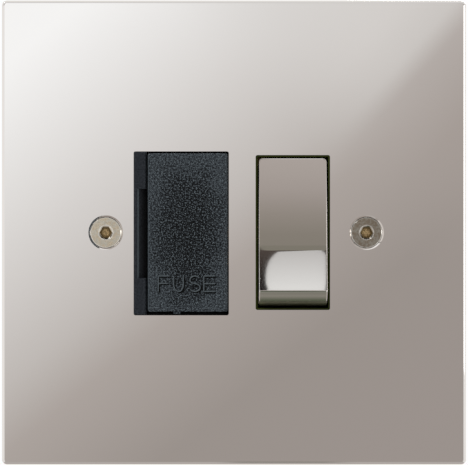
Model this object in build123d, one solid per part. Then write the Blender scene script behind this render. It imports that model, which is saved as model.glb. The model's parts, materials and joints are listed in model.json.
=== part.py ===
from build123d import *

import math
import os

# Switched fused connection unit for a flush wall box, in millimetres.
# X points right, Z up and -Y out of the wall. The wall is the plane y = 0, and the origin is the
# centre of the plate's rear rim. The rocker is off and the fuse carrier is closed.

# Plate
plate_size = 107.4
plate_thickness = 3.0
plate_web = 2.0
plate_rim = 6.0
plate_corner_radius = 1.2
plate_edge_radius = 0.65
aperture_corner_radius = 0.45
boss_diameter = 4.4

# Screws that hold the unit to its wall box
fixing_centres = 60.3
fixing_x = 0.5
sink_diameter = 8.0
fixing_hole_diameter = 4.0
fixing_head_diameter = 7.2
fixing_thread_diameter = 3.5
fixing_neck_diameter = 2.9
fixing_neck_reach = 1.0
fixing_reach = 22.0
fixing_key_width = 2.5
fixing_key_depth = 1.6

# Small screws inside
thread_diameter = 2.5
thread_gap = 0.05
plate_screw_bite = 0.6
plate_screw_head_diameter = 4.8
plate_screw_head_height = 1.8
plate_screw_x = 16.0
plate_screw_gap = 0.3
base_screw_head_diameter = 4.8
base_screw_head_height = 2.0
base_screw_sink = 2.5
base_screw_bite = 4.2
base_screw_left = -6.5
base_screw_right = 11.0
slot_width = 0.9
slot_depth = 0.8

# Clearances
seat_gap = 0.05
slide_gap = 0.3
bay_gap = 0.2
stop_gap = 0.1

# Front moulding
flange_margin = 0.5
flange_overhang = 3.0
flange_thickness = 2.0
flange_corner_radius = 4.0
moulding_wall = 1.6
pillar_diameter = 4.2
rocker_well_depth = 5.0
fuse_well_depth = 13.5

# Fuse insert
fuse_aperture_x = -12.2
fuse_aperture_z = -0.2
fuse_aperture_width = 22.0
fuse_aperture_height = 37.9
strip_gap = 0.1
strip_width = 2.9
strip_proud = 0.9
strip_edge = 0.3
recess_length = 20.6
recess_width = 2.1
recess_step = 0.45
recess_depth = 1.8

# Fuse carrier
carrier_top_gap = 0.45
carrier_bottom_gap = 0.85
carrier_proud = 1.2
carrier_panel = 2.0
carrier_wall = 1.2
carrier_skirt = 3.1
carrier_corner_radius = 0.5
carrier_edge_radius = 0.35
carrier_travel = 10.5
leg_width = 5.0
leg_length = 15.7
nib_width = 2.6
nib_length = 1.5
nib_height = 1.0
key_nib_width = 1.6
key_nib_height = 0.45
key_nib_length = 1.2
saddle_depth = 2.55
saddle_length = 7.0
saddle_wall = 1.2
saddle_wrap = 1.4

# Cartridge fuse
fuse_length = 25.4
fuse_diameter = 6.35
fuse_cap_length = 6.0
fuse_cap_wall = 0.3

# Current strips
strip_metal = 0.7
clip_width = 4.0
clip_grip_gap = 0.12
clip_back_gap = 0.3
clip_arm_past = 1.4
clip_flare = 0.5
clip_flare_length = 1.0
busbar_width = 3.0

# Rocker
rocker_x = 13.6
rocker_aperture_width = 17.2
rocker_aperture_height = 35.8
lip_wall = 0.35
lip_sunk = 0.15
rocker_side_gap = 0.35
rocker_end_gap = 0.3
rocker_swing = 12.0
pivot_setback = 2.5
rocker_top_sunk = 0.1
scoop_z = -3.0
scoop_proud = 2.15
upper_face_radius = 216.0
ridge_z = -13.5
ridge_proud = 5.6
ridge_radius = 0.5
cap_wall = 1.0
cap_reach = 0.7
cap_corner_radius = 0.9
cap_edge_radius = 0.25
body_wall = 1.3
body_reach = 1.0
pin_diameter = 2.0
pin_gap = 0.15
hub_wall = 0.9

# Switch contacts
pole_spacing = 7.2
plunger_diameter = 2.7
plunger_gap = 0.15
plunger_reach = 9.8
plunger_length = 5.0
plunger_tip_radius = 0.45
plunger_taper = 0.9
tube_wall = 0.7
tube_reach = 7.0
tube_depth = 8.0
spring_wire = 0.45
spring_turns = 4
see_saw_ratio = 1.25
contact_width = 4.0
contact_thickness = 1.0
contact_arm = 11.0
contact_tail = 6.0
contact_gap = 0.15
nose_setback = 0.5
nose_radius = 0.8
nose_gap = 0.1
tip_diameter = 3.0
tip_height = 0.8
tip_edge = 0.3
closed_gap = 0.12
fixed_tip_diameter = 3.6
foot_length = 5.0
foot_thickness = 0.7

# Rear base
base_side_gap = 0.5
base_end_gap = 0.2
base_depth = 19.0
base_floor = 2.0
base_wall = 1.6
base_corner_radius = 2.5
base_edge = 0.8
bay_web = 1.7
barrier_thickness = 1.2
barrier_length = 30.0
barrier_height = 6.5

# Terminals
line_terminal_x = 3.0
neutral_terminal_x = 19.0
terminal_width = 9.0
terminal_length = 7.5
terminal_height = 9.5
wire_bore_diameter = 4.2
wire_bore_depth = 6.5
wire_bore_rise = 4.5
clamp_diameter = 3.0
clamp_gap = 0.1
clamp_proud = 1.0

# Earth straps
strap_width = 6.0
strap_metal = 0.8
strap_overhang = 2.7
strap_lap = 1.9

# Depths along Y
plate_front = -plate_thickness
plate_back = plate_front + plate_web
flange_back = plate_back + flange_thickness
base_back = flange_back + base_depth
floor_face = base_back - base_floor

# Places in the fuse insert
fuse_left = fuse_aperture_x - fuse_aperture_width / 2
fuse_right = fuse_aperture_x + fuse_aperture_width / 2
fuse_top = fuse_aperture_z + fuse_aperture_height / 2
fuse_bottom = fuse_aperture_z - fuse_aperture_height / 2
strip_left = fuse_left + strip_gap
strip_right = strip_left + strip_width
strip_front = plate_front - strip_proud
carrier_left = strip_right + slide_gap
carrier_right = fuse_right - slide_gap
carrier_top = fuse_top - carrier_top_gap
carrier_bottom = fuse_bottom + carrier_bottom_gap
carrier_x = (carrier_left + carrier_right) / 2
carrier_z = (carrier_top + carrier_bottom) / 2
carrier_width = carrier_right - carrier_left
carrier_height = carrier_top - carrier_bottom
carrier_front = plate_front - carrier_proud
panel_back = carrier_front + carrier_panel
leg_end = panel_back + leg_length
fuse_cap_radius = fuse_diameter / 2
fuse_body_radius = fuse_cap_radius - fuse_cap_wall
fuse_y = panel_back + saddle_depth + fuse_body_radius
fuse_cap_centre = fuse_length / 2 - fuse_cap_length / 2
clip_front = fuse_y + fuse_cap_radius + clip_back_gap
clip_back = clip_front + strip_metal

# Places in the switch
pivot_y = plate_back + pivot_setback
half_swing = rocker_swing / 2
lip_width = rocker_aperture_width - 2 * seat_gap
lip_height = rocker_aperture_height - 2 * seat_gap
well_width = lip_width - 2 * lip_wall
well_height = lip_height - 2 * lip_wall
cap_width = well_width - 2 * rocker_side_gap
cap_half_height = well_height / 2 - rocker_end_gap
pin_radius = pin_diameter / 2
poles = {"line": rocker_x - pole_spacing / 2, "neutral": rocker_x + pole_spacing / 2}
plunger_radius = plunger_diameter / 2
tube_bore_radius = plunger_radius + plunger_gap
tube_radius = tube_bore_radius + tube_wall
contact_front = pivot_y + plunger_reach + contact_gap
contact_back = contact_front + contact_thickness
fulcrum_y = contact_back + nose_setback
contact_tilt = half_swing * see_saw_ratio
tip_radius = tip_diameter / 2
tip_crown = tip_height - tip_edge
tip_sphere = (tip_radius**2 + tip_crown**2) / (2 * tip_crown)
tilt_sine = math.sin(math.radians(contact_tilt))
tilt_cosine = math.cos(math.radians(contact_tilt))
sphere_offset = contact_back + tip_height - tip_sphere - fulcrum_y
closed_y = fulcrum_y + sphere_offset * tilt_cosine + contact_arm * tilt_sine + tip_sphere
closed_z = contact_arm * tilt_cosine - sphere_offset * tilt_sine
fixed_tip_front = closed_y + closed_gap
supply_front = fixed_tip_front + tip_height
supply_back = supply_front + strip_metal
busbar_front = floor_face - strip_metal

# Places in the rear base, which closes round both wells
base_width = 2 * (rocker_x + well_width / 2 + moulding_wall + base_side_gap + base_wall)
fuse_well_end = abs(carrier_z) + carrier_height / 2 + slide_gap + moulding_wall
cavity_end = fuse_well_end + base_end_gap
terminal_inner = cavity_end + base_wall
base_end = terminal_inner + terminal_length
base_height = 2 * base_end
terminal_z = base_end - terminal_length / 2
terminal_front = floor_face - terminal_height
wire_bore_y = terminal_front + wire_bore_rise
pillar_end = terminal_front - bay_web
clamp_seat = wire_bore_y + wire_bore_diameter / 2
terminal_places = {"earth": -plate_screw_x, "line": line_terminal_x, "neutral": neutral_terminal_x}

# Places of the small screws, with the plate's own beyond the base and its straps
thread_hole = thread_diameter / 2 + thread_gap
plate_screw_z = base_end + strap_metal + plate_screw_gap + plate_screw_head_diameter / 2
plate_screw_places = [(x, side * plate_screw_z) for x in (-plate_screw_x, plate_screw_x) for side in (1, -1)]
base_screw_places = [(x, side * terminal_z) for x in (base_screw_left, base_screw_right) for side in (1, -1)]
flange_width = base_width + 2 * flange_margin
flange_height = 2 * (plate_screw_z + flange_overhang)


def block(x, y, z):
    """A box between the low and high ends of each axis."""
    centre = Pos((x[0] + x[1]) / 2, (y[0] + y[1]) / 2, (z[0] + z[1]) / 2)
    return centre * Box(x[1] - x[0], y[1] - y[0], z[1] - z[0])


def span(centre, length):
    """The low and high ends of a length about its centre."""
    return (centre - length / 2, centre + length / 2)


def slab(sketch, front, back):
    """A sketch in X and Z, extruded between two depths."""
    return extrude(Plane.XZ.offset(-back) * sketch, back - front)


def rod(x, z, radius, front, back):
    """A cylinder along Y between two depths."""
    return slab(Pos(x, z) * Circle(radius), front, back)


def turned(points, x, z):
    """A piece turned about a line along Y, from an outline of radius and depth."""
    return Pos(x, 0, z) * revolve(make_face(Polyline(*points, close=True)), Axis.Y)


def across(sketch, x):
    """A sketch in Y and Z, extruded between two places along X."""
    return extrude(Plane.YZ.offset(x[0]) * sketch, x[1] - x[0])


def flat_strip(points, width, front):
    """A flat metal strip whose centre line turns square corners in X and Z."""
    sketch = Sketch()
    for start, end in zip(points, points[1:]):
        middle = Pos((start[0] + end[0]) / 2, (start[1] + end[1]) / 2)
        size = (abs(end[0] - start[0]) + width, abs(end[1] - start[1]) + width)
        sketch += middle * Rectangle(*size)
    return slab(sketch, front, front + strip_metal)


def tilted(piece, y, angle):
    """A piece turned about the line along X at depth y and height 0."""
    return Pos(0, y, 0) * Rot(angle, 0, 0) * Pos(0, -y, 0) * piece


def slotted_screw(x, z, head_radius, head, tip):
    """A cheese-head screw driven from behind, with its head between two depths."""
    radius = thread_diameter / 2
    front, back = head
    outline = [(0, tip), (radius, tip), (radius, front), (head_radius, front), (head_radius, back), (0, back)]
    slot = block(span(x, 2 * head_radius), (back - slot_depth, back), span(z, slot_width))
    return turned(outline, x, z) - slot


def faceplate():
    """Square plate with a rolled edge, a rear rim, two apertures and screw bosses."""
    plate = slab(RectangleRounded(plate_size, plate_size, plate_corner_radius), plate_front, 0)
    plate = fillet(plate.faces().sort_by(Axis.Y)[0].edges(), plate_edge_radius)
    inside = plate_size - 2 * plate_rim
    plate -= slab(Rectangle(inside, inside), plate_back, 0)
    fuse_outline = RectangleRounded(fuse_aperture_width, fuse_aperture_height, aperture_corner_radius)
    rocker_outline = RectangleRounded(rocker_aperture_width, rocker_aperture_height, aperture_corner_radius)
    plate -= slab(Pos(fuse_aperture_x, fuse_aperture_z) * fuse_outline, plate_front, plate_back)
    plate -= slab(Pos(rocker_x, 0) * rocker_outline, plate_front, plate_back)
    sink = sink_diameter / 2
    for side in (-1, 1):
        x = fixing_x + side * fixing_centres / 2
        plate -= turned([(0, plate_front), (sink, plate_front), (0, plate_front + sink)], x, 0)
        plate -= rod(x, 0, fixing_hole_diameter / 2, plate_front, plate_back)
    for x, z in plate_screw_places:
        plate += rod(x, z, boss_diameter / 2, plate_back, flange_back - seat_gap)
        plate -= rod(x, z, thread_hole, plate_back - plate_screw_bite - thread_gap, flange_back)
    return plate


def fixing_screw(x):
    """Countersunk screw with a key socket, seated in the plate."""
    head = fixing_head_diameter / 2
    neck = fixing_neck_diameter / 2
    thread = fixing_thread_diameter / 2
    head_front = plate_front + sink_diameter / 2 - head - seat_gap * math.sqrt(2)
    point = thread / 2
    outline = [
        (0, head_front),
        (head, head_front),
        (neck, head_front + head - neck),
        (neck, fixing_neck_reach),
        (thread, fixing_neck_reach),
        (thread, fixing_reach - point),
        (thread - point, fixing_reach),
        (0, fixing_reach),
    ]
    socket = Pos(x, 0) * RegularPolygon(fixing_key_width / 2, 6, major_radius=False)
    return turned(outline, x, 0) - slab(socket, head_front, head_front + fixing_key_depth)


def finger_strip():
    """Fixed strip beside the carrier, with a stepped recess that ramps down towards it."""
    height = fuse_aperture_height - 2 * strip_gap
    outline = Rectangle(strip_width, height)
    middle = Pos((strip_left + strip_right) / 2, fuse_aperture_z)
    strip = slab(middle * outline, strip_front, plate_back)
    strip = chamfer(strip.faces().sort_by(Axis.Y)[0].edges(), strip_edge)
    ramp = make_face(
        Polyline(
            (strip_right - recess_width, strip_front),
            (strip_right, strip_front),
            (strip_right, strip_front + recess_depth),
            (strip_right - recess_width, strip_front + recess_step),
            close=True,
        )
    )
    return strip - Pos(0, 0, fuse_aperture_z - recess_length / 2) * extrude(ramp, recess_length)


def front_moulding():
    """Flange behind the plate with the fuse well, the rocker well and the screw pillars."""
    fuse_well = Pos(carrier_x, carrier_z)
    fuse_size = (fuse_right - strip_right, carrier_height + 2 * slide_gap)
    rocker_well = Pos(rocker_x, 0)
    fuse_well_back = flange_back + fuse_well_depth
    rocker_well_back = flange_back + rocker_well_depth
    walls = 2 * moulding_wall
    flange = RectangleRounded(flange_width, flange_height, flange_corner_radius)
    moulding = slab(flange, plate_back, flange_back)
    fuse_walls = Rectangle(fuse_size[0] + walls, fuse_size[1] + walls)
    moulding += slab(fuse_well * fuse_walls, flange_back, fuse_well_back)
    rocker_walls = Rectangle(well_width + walls, well_height + walls)
    moulding += slab(rocker_well * rocker_walls, flange_back, rocker_well_back)
    lip = RectangleRounded(lip_width, lip_height, aperture_corner_radius)
    moulding += slab(rocker_well * lip, plate_front + lip_sunk, plate_back)
    moulding += finger_strip()
    moulding -= slab(fuse_well * Rectangle(*fuse_size), plate_back, fuse_well_back)
    moulding -= slab(rocker_well * Rectangle(well_width, well_height), plate_front, rocker_well_back)
    slot = (leg_end - nib_length - carrier_travel - stop_gap, leg_end + stop_gap)
    moulding -= block(span(carrier_x, nib_width + 2 * slide_gap), slot, span(carrier_z, fuse_size[1] + walls))
    journal = Pos(pivot_y, 0) * Circle(pin_radius + pin_gap)
    moulding -= across(journal, span(rocker_x, well_width + walls))
    for x, z in plate_screw_places:
        moulding -= rod(x, z, boss_diameter / 2 + bay_gap, plate_back, flange_back)
    for x, z in base_screw_places:
        moulding += rod(x, z, pillar_diameter / 2, flange_back, pillar_end)
        moulding -= rod(x, z, thread_hole, pillar_end - base_screw_bite - thread_gap, pillar_end)
    return moulding


def rear_base():
    """Rear housing with open terminal bays, clip pedestals, contact pads and a barrier between poles."""
    base = slab(RectangleRounded(base_width, base_height, base_corner_radius), flange_back, base_back)
    base = chamfer(base.faces().sort_by(Axis.Y)[-1].edges(), base_edge)
    inside = base_width - 2 * base_wall
    base -= slab(Rectangle(inside, 2 * cavity_end), flange_back, floor_face)
    hollow = (terminal_inner, base_end - base_wall)
    for side in (-1, 1):
        ends = sorted((side * hollow[0], side * hollow[1]))
        base -= block(span(0, inside), (flange_back, pillar_end), ends)
        bay = sorted((side * terminal_inner, side * base_end))
        for x in terminal_places.values():
            base -= block(span(x, terminal_width + 2 * bay_gap), (terminal_front, base_back), bay)
        clip_z = carrier_z + side * fuse_cap_centre
        base += block(span(carrier_x, fuse_diameter), (clip_back, floor_face), span(clip_z, clip_width))
    for x, z in base_screw_places:
        base -= rod(x, z, thread_diameter / 2 + bay_gap, pillar_end, base_back)
        base -= rod(x, z, base_screw_head_diameter / 2 + bay_gap, base_back - base_screw_sink, base_back)
    for x in poles.values():
        pad = (closed_z - fixed_tip_diameter / 2, cavity_end)
        base += block(span(x, busbar_width), (supply_back, floor_face), pad)
    slot = busbar_width + 2 * bay_gap
    for x in (terminal_places["line"], poles["neutral"]):
        base -= block(span(x, slot), (supply_front - bay_gap, supply_back), (cavity_end, terminal_inner))
        base -= block(span(x, slot), (busbar_front - bay_gap, floor_face), (-terminal_inner, -cavity_end))
    barrier = (floor_face - barrier_height, floor_face)
    return base + block(span(rocker_x, barrier_thickness), barrier, span(0, barrier_length))


def fuse_carrier():
    """Drawer that holds the fuse: panel, skirt, sprung saddle and two legs with stop nibs."""
    middle = Pos(carrier_x, carrier_z)
    outline = RectangleRounded(carrier_width, carrier_height, carrier_corner_radius)
    skirt_back = panel_back + carrier_skirt
    carrier = slab(middle * outline, carrier_front, skirt_back)
    carrier = fillet(carrier.faces().sort_by(Axis.Y)[0].edges(), carrier_edge_radius)
    inside = Rectangle(carrier_width - 2 * carrier_wall, carrier_height - 2 * carrier_wall)
    carrier -= slab(middle * inside, panel_back, skirt_back)
    saddle_half = fuse_body_radius + seat_gap + saddle_wall
    saddle_z = span(carrier_z, saddle_length)
    saddle = block(span(carrier_x, 2 * saddle_half), (panel_back, fuse_y + saddle_wrap), saddle_z)
    saddle -= Pos(carrier_x, fuse_y, carrier_z) * Cylinder(fuse_body_radius + seat_gap, saddle_length)
    mouth = 2 * (math.sqrt(fuse_body_radius**2 - saddle_wrap**2) + seat_gap)
    saddle -= block(span(carrier_x, mouth), (fuse_y, fuse_y + saddle_wrap), saddle_z)
    carrier += saddle
    for side, end in ((1, carrier_top), (-1, carrier_bottom)):
        leg = sorted((end, end - side * carrier_wall))
        carrier += block(span(carrier_x, leg_width), (panel_back, leg_end), leg)
        nib = sorted((end, end + side * nib_height))
        carrier += block(span(carrier_x, nib_width), (leg_end - nib_length, leg_end), nib)
    key = (carrier_front + carrier_edge_radius, carrier_front + carrier_edge_radius + key_nib_length)
    key_x = span(carrier_x - leg_width / 2, key_nib_width)
    return carrier + block(key_x, key, (carrier_bottom - key_nib_height, carrier_bottom))


def fuse_body():
    """Ceramic tube of the cartridge fuse, closed by its caps."""
    length = fuse_length - 2 * (fuse_cap_wall + seat_gap)
    return Pos(carrier_x, fuse_y, carrier_z) * Cylinder(fuse_body_radius - seat_gap, length)


def fuse_cap(side):
    """Metal end cap pressed over the ceramic tube."""
    cap = Cylinder(fuse_cap_radius, fuse_cap_length)
    cap -= Pos(0, 0, -side * fuse_cap_wall) * Cylinder(fuse_body_radius, fuse_cap_length)
    return Pos(carrier_x, fuse_y, carrier_z + side * fuse_cap_centre) * cap


def fuse_clip(side, route):
    """U clip round a fuse cap, with a tab down its pedestal and a strip along the floor."""
    half = fuse_cap_radius + clip_grip_gap
    arm = fuse_y - clip_arm_past
    path = Polyline(
        (carrier_x - half - clip_flare, arm - clip_flare_length),
        (carrier_x - half, arm),
        (carrier_x - half, clip_front),
        (carrier_x + half, clip_front),
        (carrier_x + half, arm),
        (carrier_x + half + clip_flare, arm - clip_flare_length),
    )
    section = make_face(path.wire().offset_2d(strip_metal, Kind.INTERSECTION, Side.LEFT))
    middle = carrier_z + side * fuse_cap_centre
    clip = Pos(0, 0, middle - clip_width / 2) * extrude(section, clip_width, dir=(0, 0, 1))
    inner = middle - side * clip_width / 2
    tab = sorted((inner, inner - side * strip_metal))
    clip += block(span(carrier_x, busbar_width), (clip_front, floor_face), tab)
    start = (carrier_x, inner - side * busbar_width / 2)
    return clip + flat_strip([start] + route, busbar_width, busbar_front)


def pressed_to_rest(y, z):
    """Where a point of the pressed rocker lies when the rocker is at rest."""
    sine = math.sin(math.radians(rocker_swing))
    cosine = math.cos(math.radians(rocker_swing))
    return (pivot_y + (y - pivot_y) * cosine + z * sine, z * cosine - (y - pivot_y) * sine)


def rocker_profile(reach):
    """Side outline of the rocker at rest: long upper face, scoop, ridge and rounded chin.

    Its ends run back past the pivot by the reach, and the chin starts square to its pivot radius.
    """
    back = pivot_y + reach
    top_back = (back, cap_half_height)
    top_front = (plate_front + rocker_top_sunk, cap_half_height)
    scoop = (plate_front - scoop_proud, scoop_z)
    ridge = (plate_front - ridge_proud, ridge_z)
    heel = pressed_to_rest(back, -cap_half_height)
    upper = RadiusArc(top_front, scoop, upper_face_radius)
    lower = TangentArc(scoop, ridge, tangent=upper % 1)
    chin = TangentArc(heel, ridge, tangent=(heel[1], pivot_y - heel[0]))
    ends = [Line(top_back, top_front), Line(heel, top_back)]
    outline = make_face([upper, lower, chin] + ends)
    corner = outline.vertices().sort_by_distance((ridge[0], ridge[1], 0))[0]
    return fillet(corner, ridge_radius)


def rocker_core(inset, width, reach):
    """The rocker's form drawn in by an inset at its front and ends."""
    outline = rocker_profile(reach)
    inner = outline
    for shift in ((inset, 0), (0, inset), (0, -inset)):
        inner = inner & Pos(*shift) * outline
    return across(inner, span(rocker_x, width))


def on_front_rim(edge):
    """Whether an edge runs round the cap's front, ahead of the skirt."""
    faces_out = edge.center().Y < plate_front + rocker_top_sunk + cap_edge_radius
    return faces_out and not edge.is_interior


def rocker_cap():
    """Polished metal cap, open at the back, with notches for the pivot pins."""
    cap = across(rocker_profile(cap_reach), span(rocker_x, cap_width))
    corners = cap.edges().filter_by(Axis.Y)
    cap = fillet(corners, cap_corner_radius)
    rims = [edge for edge in cap.edges() if on_front_rim(edge)]
    cap = fillet(rims, cap_edge_radius)
    cap -= rocker_core(cap_wall, cap_width - 2 * cap_wall, cap_reach + body_reach)
    notch = Pos(pivot_y, 0) * Circle(pin_radius + slide_gap)
    return cap - across(notch, span(rocker_x, cap_width))


def rocker_body():
    """Plastic rocker under the cap, with a hub, pivot pins and two plunger tubes."""
    inset = cap_wall + seat_gap
    width = cap_width - 2 * inset
    body = rocker_core(inset, width, cap_reach + body_reach)
    hollow = Pos(0, body_wall, 0) * rocker_core(inset, width - 2 * body_wall, cap_reach + body_reach)
    hollow_height = 2 * (cap_half_height - inset - body_wall)
    ahead = (plate_front - ridge_proud, flange_back + rocker_well_depth)
    body -= hollow & block(span(rocker_x, width), ahead, span(0, hollow_height))
    pivot = Pos(pivot_y, 0)
    body += across(pivot * Circle(pin_radius + hub_wall), span(rocker_x, width))
    pin_span = well_width + 2 * (moulding_wall - pin_gap)
    body += across(pivot * Circle(pin_radius), span(rocker_x, pin_span))
    tube = (pivot_y + tube_reach - tube_depth - body_wall, pivot_y + tube_reach)
    for x in poles.values():
        body += tilted(rod(x, 0, tube_radius, *tube), pivot_y, -half_swing)
    for x in poles.values():
        bore = rod(x, 0, tube_bore_radius, tube[0] + body_wall, tube[1])
        body -= tilted(bore, pivot_y, -half_swing)
    return body


def plunger(x):
    """Plunger with a tapered nose that slides in a tube of the rocker."""
    tip = pivot_y + plunger_reach
    tail = tip - plunger_length
    shoulder = tip - plunger_taper
    outline = [
        (0, tail),
        (plunger_radius, tail),
        (plunger_radius, shoulder),
        (plunger_tip_radius, tip),
        (0, tip),
    ]
    return tilted(turned(outline, x, 0), pivot_y, -half_swing)


def plunger_spring(x):
    """Coil spring between the bottom of a tube and its plunger."""
    start = pivot_y + tube_reach - tube_depth + spring_wire / 2 + seat_gap
    end = pivot_y + plunger_reach - plunger_length - spring_wire / 2 - seat_gap
    radius = tube_bore_radius - plunger_gap - spring_wire / 2
    coil = Helix((end - start) / spring_turns, end - start, radius, (x, start, 0), (0, 1, 0))
    section = Plane(coil @ 0, z_dir=coil % 0) * RegularPolygon(spring_wire / 2, 4)
    return tilted(sweep(section, coil, is_frenet=True), pivot_y, -half_swing)


def moving_contact(x):
    """See-saw bar that rocks on the fulcrum's nose in a groove."""
    top = contact_arm + tip_radius + tip_edge
    middle = Pos((contact_front + contact_back) / 2, (top - contact_tail) / 2)
    bar = middle * Rectangle(contact_thickness, top + contact_tail)
    bar -= Pos(fulcrum_y, 0) * Circle(nose_radius + nose_gap)
    return tilted(across(bar, span(x, contact_width)), fulcrum_y, contact_tilt)


def moving_tip(x):
    """Domed contact on the see-saw bar."""
    tip = rod(x, contact_arm, tip_radius, contact_back, contact_back + tip_height)
    dome = Pos(x, contact_back + tip_height - tip_sphere, contact_arm) * Sphere(tip_sphere)
    return tilted(tip & dome, fulcrum_y, contact_tilt)


def fulcrum(x):
    """Post with a round nose and a foot on its busbar."""
    post = Pos(fulcrum_y, 0) * Circle(nose_radius)
    post += Pos((fulcrum_y + busbar_front) / 2, 0) * Rectangle(busbar_front - fulcrum_y, 2 * nose_radius)
    post += Pos(busbar_front - foot_thickness / 2, 0) * Rectangle(foot_thickness, foot_length)
    return across(post, span(x, contact_width))


def supply_contact(x, terminal_x):
    """Strip from the fixed tip to the supply terminal, with a jog where they are out of line."""
    low = closed_z - fixed_tip_diameter / 2 + busbar_width / 2
    end = terminal_inner - busbar_width / 2
    jog = cavity_end - busbar_width
    route = [(x, low), (x, jog), (terminal_x, jog), (terminal_x, end)]
    return flat_strip(route, busbar_width, supply_front)


def terminal_block(x, side):
    """Brass block with a wire bore from its outer end and a clamp screw hole from behind."""
    outline = Rectangle(terminal_width, terminal_length)
    body = slab(Pos(x, side * terminal_z) * outline, terminal_front, floor_face)
    bore = Cylinder(wire_bore_diameter / 2, wire_bore_depth)
    body -= Pos(x, wire_bore_y, side * (base_end - wire_bore_depth / 2)) * bore
    return body - rod(x, side * terminal_z, clamp_diameter / 2 + clamp_gap, wire_bore_y, floor_face)


def terminal_screw(x, side):
    """Slotted clamp screw whose end stands level with the wire bore's wall."""
    z = side * terminal_z
    end = floor_face + clamp_proud
    screw = rod(x, z, clamp_diameter / 2, clamp_seat, end)
    return screw - block(span(x, clamp_diameter), (end - slot_depth, end), span(z, slot_width))


def earth_strap(side):
    """Bent strap from a plate screw to the outer face of an earth terminal."""
    x = terminal_places["earth"]
    tongue = (base_end, plate_screw_z + strap_overhang)
    upright = (flange_back, terminal_front + strap_lap)
    outer = base_end + strap_metal
    strap = block(span(x, strap_width), (flange_back, flange_back + strap_metal), tongue)
    strap += block(span(x, strap_width), upright, (base_end, outer))
    strap -= rod(x, plate_screw_z, thread_diameter / 2 + bay_gap, flange_back, flange_back + strap_metal)
    return strap if side > 0 else mirror(strap, Plane.XY)


def pieces():
    """Every piece of the unit by name."""
    made = {"faceplate": faceplate(), "front_moulding": front_moulding(), "rear_base": rear_base()}
    made["fixing_screw_left"] = fixing_screw(fixing_x - fixing_centres / 2)
    made["fixing_screw_right"] = fixing_screw(fixing_x + fixing_centres / 2)
    for number, (x, z) in enumerate(plate_screw_places, 1):
        seat = flange_back + (strap_metal if x < 0 else 0)
        head = (seat, seat + plate_screw_head_height)
        tip = plate_back - plate_screw_bite
        made[f"plate_screw_{number}"] = slotted_screw(x, z, plate_screw_head_diameter / 2, head, tip)
    for number, (x, z) in enumerate(base_screw_places, 1):
        seat = base_back - base_screw_sink
        head = (seat, seat + base_screw_head_height)
        tip = pillar_end - base_screw_bite
        made[f"base_screw_{number}"] = slotted_screw(x, z, base_screw_head_diameter / 2, head, tip)
    made["fuse_carrier"] = fuse_carrier()
    made["fuse_body"] = fuse_body()
    made["fuse_cap_top"] = fuse_cap(1)
    made["fuse_cap_bottom"] = fuse_cap(-1)
    made["fuse_clip_top"] = fuse_clip(1, [(carrier_x, 0), (poles["line"], 0)])
    load_end = busbar_width / 2 - terminal_inner
    line_x = terminal_places["line"]
    low = carrier_z - fuse_cap_centre + clip_width / 2 + busbar_width / 2
    made["fuse_clip_bottom"] = fuse_clip(-1, [(line_x, low), (line_x, load_end)])
    neutral_route = [(poles["neutral"], 0), (poles["neutral"], load_end)]
    made["neutral_busbar"] = flat_strip(neutral_route, busbar_width, busbar_front)
    made["rocker_cap"] = rocker_cap()
    made["rocker_body"] = rocker_body()
    supply_ends = {"line": line_x, "neutral": poles["neutral"]}
    for pole, x in poles.items():
        made[f"plunger_{pole}"] = plunger(x)
        made[f"plunger_spring_{pole}"] = plunger_spring(x)
        made[f"moving_contact_{pole}"] = moving_contact(x)
        made[f"moving_tip_{pole}"] = moving_tip(x)
        made[f"fulcrum_{pole}"] = fulcrum(x)
        made[f"supply_contact_{pole}"] = supply_contact(x, supply_ends[pole])
        made[f"fixed_tip_{pole}"] = rod(x, closed_z, fixed_tip_diameter / 2, fixed_tip_front, supply_front)
    for row, side in (("supply", 1), ("load", -1)):
        for name, x in terminal_places.items():
            made[f"{name}_{row}_block"] = terminal_block(x, side)
            made[f"{name}_{row}_screw"] = terminal_screw(x, side)
    made["earth_strap_top"] = earth_strap(1)
    made["earth_strap_bottom"] = earth_strap(-1)
    return made


os.makedirs("parts", exist_ok=True)
for name, piece in pieces().items():
    export_step(piece, f"parts/{name}.step")
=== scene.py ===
import json
import math

import bmesh
import bpy
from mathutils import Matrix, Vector


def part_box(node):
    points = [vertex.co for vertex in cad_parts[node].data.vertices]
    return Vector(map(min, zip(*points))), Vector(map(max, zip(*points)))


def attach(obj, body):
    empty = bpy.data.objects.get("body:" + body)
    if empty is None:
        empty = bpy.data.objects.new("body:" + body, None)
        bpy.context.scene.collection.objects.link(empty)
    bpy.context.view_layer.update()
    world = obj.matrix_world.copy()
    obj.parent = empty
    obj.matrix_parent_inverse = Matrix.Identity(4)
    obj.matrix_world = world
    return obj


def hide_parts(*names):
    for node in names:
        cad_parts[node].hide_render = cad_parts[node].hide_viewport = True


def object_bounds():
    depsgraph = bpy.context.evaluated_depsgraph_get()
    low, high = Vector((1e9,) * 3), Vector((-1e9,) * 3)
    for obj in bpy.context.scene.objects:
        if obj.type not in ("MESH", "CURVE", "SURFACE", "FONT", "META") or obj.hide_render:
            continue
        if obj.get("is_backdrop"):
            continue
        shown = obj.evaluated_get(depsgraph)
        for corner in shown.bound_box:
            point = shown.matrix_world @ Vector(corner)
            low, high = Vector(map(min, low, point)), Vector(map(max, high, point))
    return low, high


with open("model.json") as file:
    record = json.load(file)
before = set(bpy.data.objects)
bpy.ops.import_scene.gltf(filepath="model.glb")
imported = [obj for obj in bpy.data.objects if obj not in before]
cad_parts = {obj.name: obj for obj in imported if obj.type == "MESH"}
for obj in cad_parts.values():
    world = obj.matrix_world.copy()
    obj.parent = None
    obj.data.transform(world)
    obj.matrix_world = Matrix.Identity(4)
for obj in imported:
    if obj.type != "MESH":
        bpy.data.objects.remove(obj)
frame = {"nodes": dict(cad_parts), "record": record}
cad_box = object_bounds()

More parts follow.
